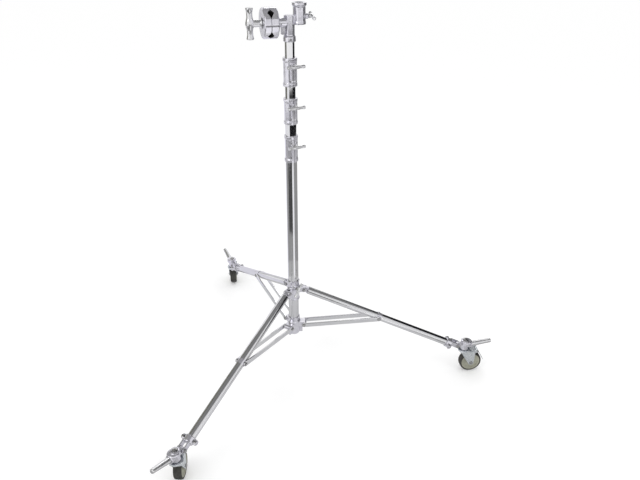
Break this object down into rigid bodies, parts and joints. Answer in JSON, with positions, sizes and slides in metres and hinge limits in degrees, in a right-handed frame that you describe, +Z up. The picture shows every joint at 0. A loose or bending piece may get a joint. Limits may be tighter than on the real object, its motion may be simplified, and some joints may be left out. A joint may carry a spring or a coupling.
{
  "type": "wheeled studio stand",
  "caption": "Wheeled overhead stand: clamped telescoping mast, folding braced legs on braked casters, a spigot receiver and a grip head.",
  "frame": {"origin": "the point on the floor straight under the mast's axis", "axes": "+Z up along the mast; +X towards the right leg"},
  "size_m": [1.344, 1.55, 1.593],
  "materials": {
    "chrome": "polished chrome plate on steel",
    "cast_silver": "satin silver casting",
    "zinc": "bright zinc on pressed steel",
    "bolt_steel": "plain bright steel",
    "tread": "matt black rubber",
    "wheel": "moulded grey-beige plastic"
  },
  "bodies": {
    "mast": {"base_tube": "chrome", "mast_foot": "cast_silver", "clamp_collar_lower": "cast_silver"},
    "riser_1": {"riser_tube_1": "chrome", "clamp_collar_middle": "cast_silver"},
    "riser_2": {"riser_tube_2": "chrome", "clamp_collar_upper": "cast_silver"},
    "riser_3": {"riser_tube_3": "chrome", "head_casting": "cast_silver"},
    "leg_collar": {"leg_collar": "cast_silver"},
    "clamp_knob_lower": {"clamp_knob_lower": "chrome"},
    "clamp_knob_middle": {"clamp_knob_middle": "chrome"},
    "clamp_knob_upper": {"clamp_knob_upper": "chrome"},
    "leg_collar_knob": {"leg_collar_knob": "chrome"},
    "receiver_knob": {"receiver_knob": "chrome"},
    "grip_head": {"grip_back_plate": "cast_silver", "grip_spindle": "bolt_steel"},
    "grip_front": {"grip_front_plate": "cast_silver"},
    "grip_handle": {"grip_handle": "chrome"},
    "leg_right": {"leg_tube_right": "chrome", "leg_saddle_right": "cast_silver", "foot_socket_right": "cast_silver", "foot_hinge_bolt_right": "bolt_steel"},
    "brace_right": {"brace_bar_right_1": "chrome", "brace_bar_right_2": "chrome"},
    "yoke_right": {"caster_yoke_right": "cast_silver", "foot_bar_right": "chrome"},
    "caster_right": {"caster_fork_right": "zinc", "caster_axle_right": "bolt_steel"},
    "wheel_right": {"caster_tyre_right": "tread", "caster_hub_right": "wheel"},
    "pedal_right": {"brake_pedal_right": "zinc"},
    "leg_back": {"leg_tube_back": "chrome", "leg_saddle_back": "cast_silver", "foot_socket_back": "cast_silver", "foot_hinge_bolt_back": "bolt_steel"},
    "brace_back": {"brace_bar_back_1": "chrome", "brace_bar_back_2": "chrome"},
    "yoke_back": {"caster_yoke_back": "cast_silver", "foot_bar_back": "chrome"},
    "caster_back": {"caster_fork_back": "zinc", "caster_axle_back": "bolt_steel"},
    "wheel_back": {"caster_tyre_back": "tread", "caster_hub_back": "wheel"},
    "pedal_back": {"brake_pedal_back": "zinc"},
    "leg_front": {"leg_tube_front": "chrome", "leg_saddle_front": "cast_silver", "foot_socket_front": "cast_silver", "foot_hinge_bolt_front": "bolt_steel"},
    "brace_front": {"brace_bar_front_1": "chrome", "brace_bar_front_2": "chrome"},
    "yoke_front": {"caster_yoke_front": "cast_silver", "foot_bar_front": "chrome"},
    "caster_front": {"caster_fork_front": "zinc", "caster_axle_front": "bolt_steel"},
    "wheel_front": {"caster_tyre_front": "tread", "caster_hub_front": "wheel"},
    "pedal_front": {"brake_pedal_front": "zinc"}
  },
  "joints": [
    {"name": "riser_1_slide", "type": "slide", "parent": "mast", "child": "riser_1", "axis": [0, 0, 1], "range_m": [0, 0.75]},
    {"name": "riser_2_slide", "type": "slide", "parent": "riser_1", "child": "riser_2", "axis": [0, 0, 1], "range_m": [0, 0.85]},
    {"name": "riser_3_slide", "type": "slide", "parent": "riser_2", "child": "riser_3", "axis": [0, 0, 1], "range_m": [0, 0.95]},
    {"name": "leg_collar_slide", "type": "slide", "parent": "mast", "child": "leg_collar", "axis": [0, 0, 1], "range_m": [0, 0.505]},
    {"name": "clamp_knob_lower_turn", "type": "hinge", "parent": "mast", "child": "clamp_knob_lower", "pos_m": [0.02521, -0.04548, 1.089], "axis": [0.4848, -0.8746, 0], "range_deg": [0, 270]},
    {"name": "clamp_knob_middle_turn", "type": "hinge", "parent": "riser_1", "child": "clamp_knob_middle", "pos_m": [0.02521, -0.04548, 1.239], "axis": [0.4848, -0.8746, 0], "range_deg": [0, 270]},
    {"name": "clamp_knob_upper_turn", "type": "hinge", "parent": "riser_2", "child": "clamp_knob_upper", "pos_m": [0.02521, -0.04548, 1.386], "axis": [0.4848, -0.8746, 0], "range_deg": [0, 270]},
    {"name": "leg_collar_knob_turn", "type": "hinge", "parent": "leg_collar", "child": "leg_collar_knob", "pos_m": [0.02521, -0.04548, 0.446], "axis": [0.4848, -0.8746, 0], "range_deg": [0, 270]},
    {"name": "receiver_knob_turn", "type": "hinge", "parent": "riser_3", "child": "receiver_knob", "pos_m": [0.07871, 0.02634, 1.547], "axis": [0.9483, 0.3173, 0], "range_deg": [0, 270]},
    {"name": "grip_head_swivel", "type": "hinge", "parent": "riser_3", "child": "grip_head", "pos_m": [-0.06875, -0.02301, 1.529], "axis": [-0.9483, -0.3173, 0], "continuous": true},
    {"name": "grip_front_slide", "type": "slide", "parent": "grip_head", "child": "grip_front", "axis": [-0.9483, -0.3173, 0], "range_m": [0, 0.006]},
    {"name": "grip_handle_turn", "type": "hinge", "parent": "grip_front", "child": "grip_handle", "pos_m": [-0.13134, -0.04395, 1.529], "axis": [-0.9483, -0.3173, 0], "range_deg": [0, 720]},
    {"name": "leg_right_fold", "type": "hinge", "parent": "leg_collar", "child": "leg_right", "pos_m": [0.046, 0, 0.4286], "axis": [0, 1, 0], "range_deg": [0, 59]},
    {"name": "brace_right_fold", "type": "hinge", "parent": "mast", "child": "brace_right", "pos_m": [0.045, 0, 0.247], "axis": [0, 1, 0], "range_deg": [-74.2, 0]},
    {"name": "yoke_right_level", "type": "hinge", "parent": "leg_right", "child": "yoke_right", "pos_m": [0.742, 0, 0.142], "axis": [0, 1, 0], "range_deg": [-59, 0]},
    {"name": "caster_right_swivel", "type": "hinge", "parent": "yoke_right", "child": "caster_right", "pos_m": [0.775, 0, 0.125], "axis": [0, 0, 1], "continuous": true},
    {"name": "wheel_right_spin", "type": "hinge", "parent": "caster_right", "child": "wheel_right", "pos_m": [0.80966, 0.00487, 0.05], "axis": [-0.1392, 0.9903, 0], "continuous": true},
    {"name": "pedal_right_brake", "type": "hinge", "parent": "caster_right", "child": "pedal_right", "pos_m": [0.83442, 0.00835, 0.112], "axis": [0.1392, -0.9903, 0], "range_deg": [0, 35]},
    {"name": "leg_back_fold", "type": "hinge", "parent": "leg_collar", "child": "leg_back", "pos_m": [-0.023, 0.03984, 0.4286], "axis": [-0.866, -0.5, 0], "range_deg": [0, 59]},
    {"name": "brace_back_fold", "type": "hinge", "parent": "mast", "child": "brace_back", "pos_m": [-0.0225, 0.03897, 0.247], "axis": [-0.866, -0.5, 0], "range_deg": [-74.2, 0]},
    {"name": "yoke_back_level", "type": "hinge", "parent": "leg_back", "child": "yoke_back", "pos_m": [-0.371, 0.64259, 0.142], "axis": [-0.866, -0.5, 0], "range_deg": [-59, 0]},
    {"name": "caster_back_swivel", "type": "hinge", "parent": "yoke_back", "child": "caster_back", "pos_m": [-0.3875, 0.67117, 0.125], "axis": [0, 0, 1], "continuous": true},
    {"name": "wheel_back_spin", "type": "hinge", "parent": "caster_back", "child": "wheel_back", "pos_m": [-0.39176, 0.70591, 0.05], "axis": [-0.9925, -0.1219, 0], "continuous": true},
    {"name": "pedal_back_brake", "type": "hinge", "parent": "caster_back", "child": "pedal_back", "pos_m": [-0.39481, 0.73072, 0.112], "axis": [0.9925, 0.1219, 0], "range_deg": [0, 35]},
    {"name": "leg_front_fold", "type": "hinge", "parent": "leg_collar", "child": "leg_front", "pos_m": [-0.023, -0.03984, 0.4286], "axis": [0.866, -0.5, 0], "range_deg": [0, 59]},
    {"name": "brace_front_fold", "type": "hinge", "parent": "mast", "child": "brace_front", "pos_m": [-0.0225, -0.03897, 0.247], "axis": [0.866, -0.5, 0], "range_deg": [-74.2, 0]},
    {"name": "yoke_front_level", "type": "hinge", "parent": "leg_front", "child": "yoke_front", "pos_m": [-0.371, -0.64259, 0.142], "axis": [0.866, -0.5, 0], "range_deg": [-59, 0]},
    {"name": "caster_front_swivel", "type": "hinge", "parent": "yoke_front", "child": "caster_front", "pos_m": [-0.3875, -0.67117, 0.125], "axis": [0, 0, 1], "continuous": true},
    {"name": "wheel_front_spin", "type": "hinge", "parent": "caster_front", "child": "wheel_front", "pos_m": [-0.3875, -0.63617, 0.05], "axis": [-1, 0, 0], "continuous": true},
    {"name": "pedal_front_brake", "type": "hinge", "parent": "caster_front", "child": "pedal_front", "pos_m": [-0.3875, -0.61117, 0.112], "axis": [1, 0, 0], "range_deg": [0, 35]}
  ],
  "couplings": [
    {"joint": "grip_front_slide", "follows": "grip_handle_turn", "m_per_rad": 0.000477},
    {"joint": "leg_right_fold", "follows": "leg_collar_slide", "rad_per_m": 2.0362},
    {"joint": "brace_right_fold", "follows": "leg_collar_slide", "rad_per_m": -2.5612},
    {"joint": "yoke_right_level", "follows": "leg_collar_slide", "rad_per_m": -2.0362},
    {"joint": "leg_back_fold", "follows": "leg_collar_slide", "rad_per_m": 2.0362},
    {"joint": "brace_back_fold", "follows": "leg_collar_slide", "rad_per_m": -2.5612},
    {"joint": "yoke_back_level", "follows": "leg_collar_slide", "rad_per_m": -2.0362},
    {"joint": "leg_front_fold", "follows": "leg_collar_slide", "rad_per_m": 2.0362},
    {"joint": "brace_front_fold", "follows": "leg_collar_slide", "rad_per_m": -2.5612},
    {"joint": "yoke_front_level", "follows": "leg_collar_slide", "rad_per_m": -2.0362}
  ]
}
